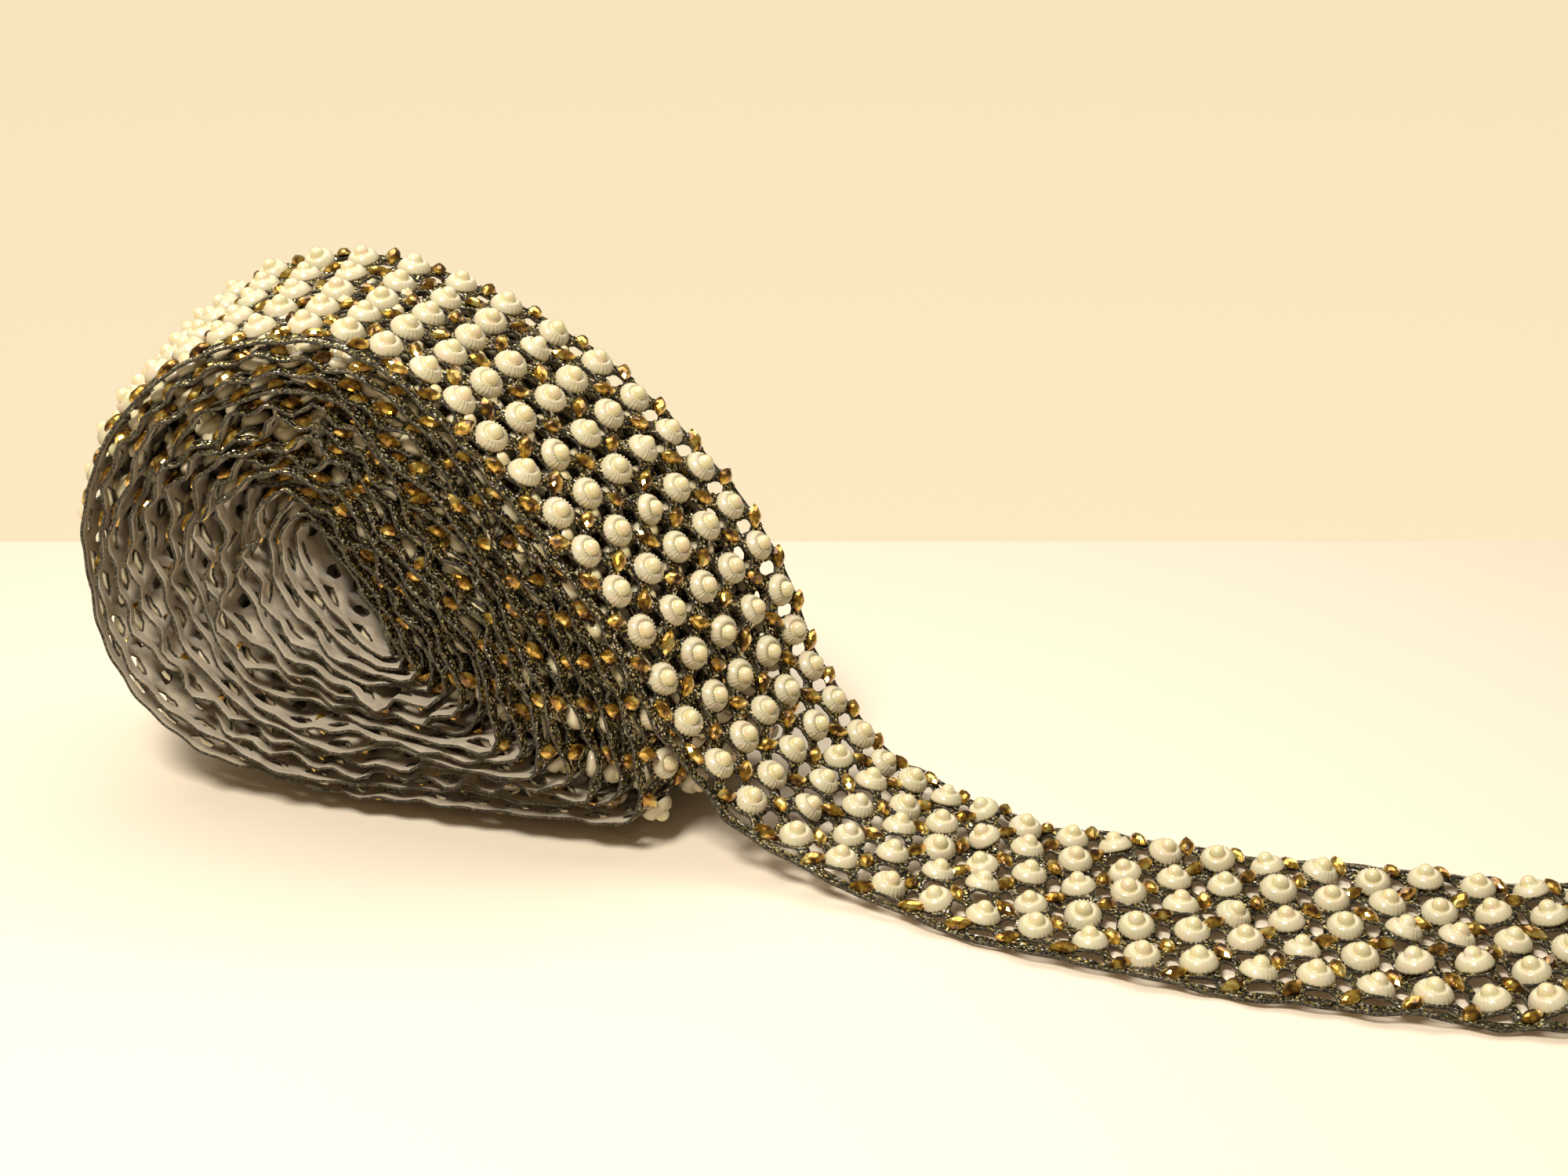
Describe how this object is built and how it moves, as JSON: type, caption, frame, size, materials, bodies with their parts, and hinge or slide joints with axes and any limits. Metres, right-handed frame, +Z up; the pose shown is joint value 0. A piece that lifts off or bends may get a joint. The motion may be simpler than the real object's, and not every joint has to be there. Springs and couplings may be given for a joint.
{
  "type": "beaded border trim",
  "caption": "Wide openwork border trim of glitter cloth set with domed pearls and small amber stones, wound in a loose roll with its end lying out.",
  "frame": {"origin": "on the table, under the middle of the roll and its loose end together", "axes": "+Z up, +X along the loose end away from the roll, +Y across the band from its near edge to its far edge"},
  "size_m": [0.4564, 0.1067, 0.1522],
  "materials": {
    "trim": "dark gold glitter cloth on a pale felt backing, set with pearls and amber stones"
  },
  "bodies": {
    "root": {"wound_roll": "trim", "loose_end": "trim"}
  },
  "joints": []
}
